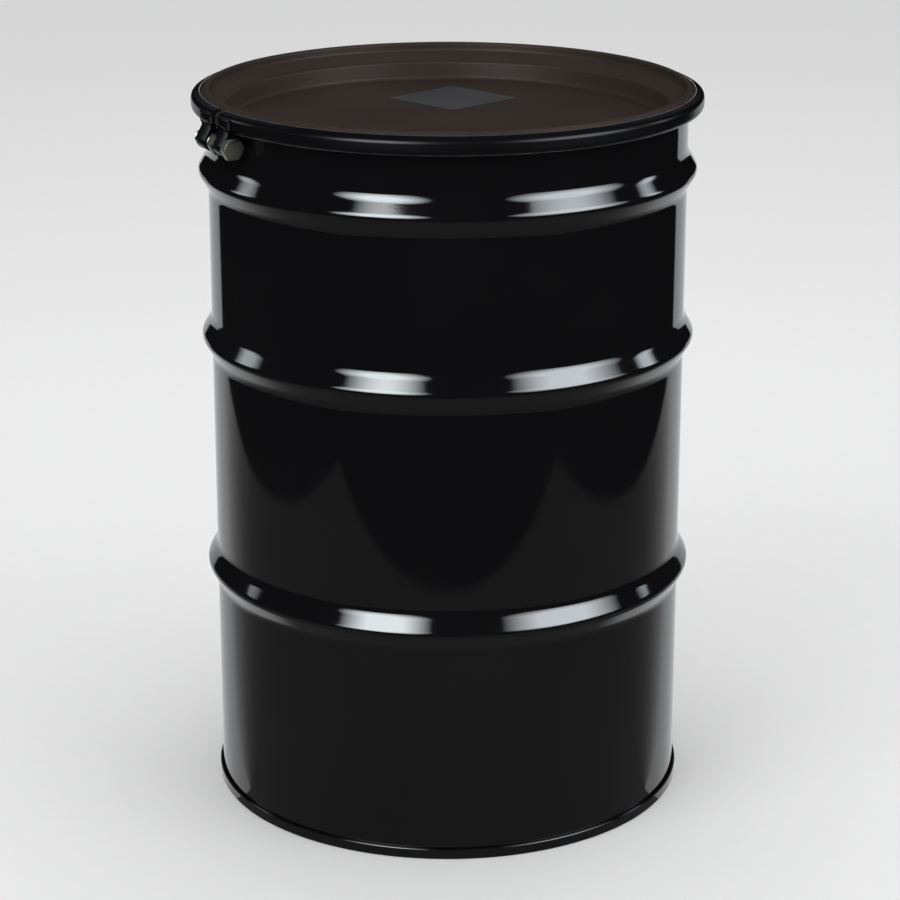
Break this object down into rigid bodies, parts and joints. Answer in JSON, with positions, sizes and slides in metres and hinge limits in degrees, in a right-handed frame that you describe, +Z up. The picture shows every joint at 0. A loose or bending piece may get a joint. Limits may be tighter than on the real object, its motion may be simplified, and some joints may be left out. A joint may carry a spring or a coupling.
{
  "type": "open-head steel drum",
  "caption": "Straight-sided steel drum with rolling hoops, a removable recessed cover and a bolted closing ring.",
  "frame": {"origin": "on the floor, under the drum's axis", "axes": "+Z up along the drum's axis, -Y is the front, the closing bolt is on the left of the front"},
  "size_m": [0.6099, 0.61, 0.8763],
  "materials": {
    "black_enamel": "gloss black baked enamel",
    "cover_enamel": "satin brown-black enamel",
    "ring_enamel": "satin black enamel",
    "zinc_plate": "zinc plate, dulled",
    "gasket_rubber": "matt black sponge rubber",
    "seam_sealant": "dull seam sealant",
    "label_vinyl": "satin vinyl, blank"
  },
  "bodies": {
    "drum": {"drum_shell": "black_enamel", "bottom_head": "black_enamel", "chime_sealant": "seam_sealant"},
    "lid": {"cover": "cover_enamel", "cover_gasket": "gasket_rubber", "lid_label": "label_vinyl"},
    "ring": {"closing_ring": "ring_enamel", "clearance_lug": "ring_enamel", "threaded_lug": "ring_enamel", "lug_welds": "ring_enamel"},
    "bolt": {"ring_bolt": "zinc_plate"},
    "nut": {"jam_nut": "zinc_plate"}
  },
  "joints": [
    {"name": "cover_lift", "type": "slide", "parent": "drum", "child": "lid", "axis": [0, 0, 1], "range_m": [0, 0.6]},
    {"name": "ring_lift", "type": "slide", "parent": "lid", "child": "ring", "axis": [0, 0, 1], "range_m": [0, 0.36]},
    {"name": "bolt_draw", "type": "slide", "parent": "ring", "child": "bolt", "axis": [0.4924, -0.8704, 0], "range_m": [0, 0.085]},
    {"name": "nut_travel", "type": "slide", "parent": "ring", "child": "nut", "axis": [-0.4924, 0.8704, 0], "range_m": [0, 0.01]}
  ]
}
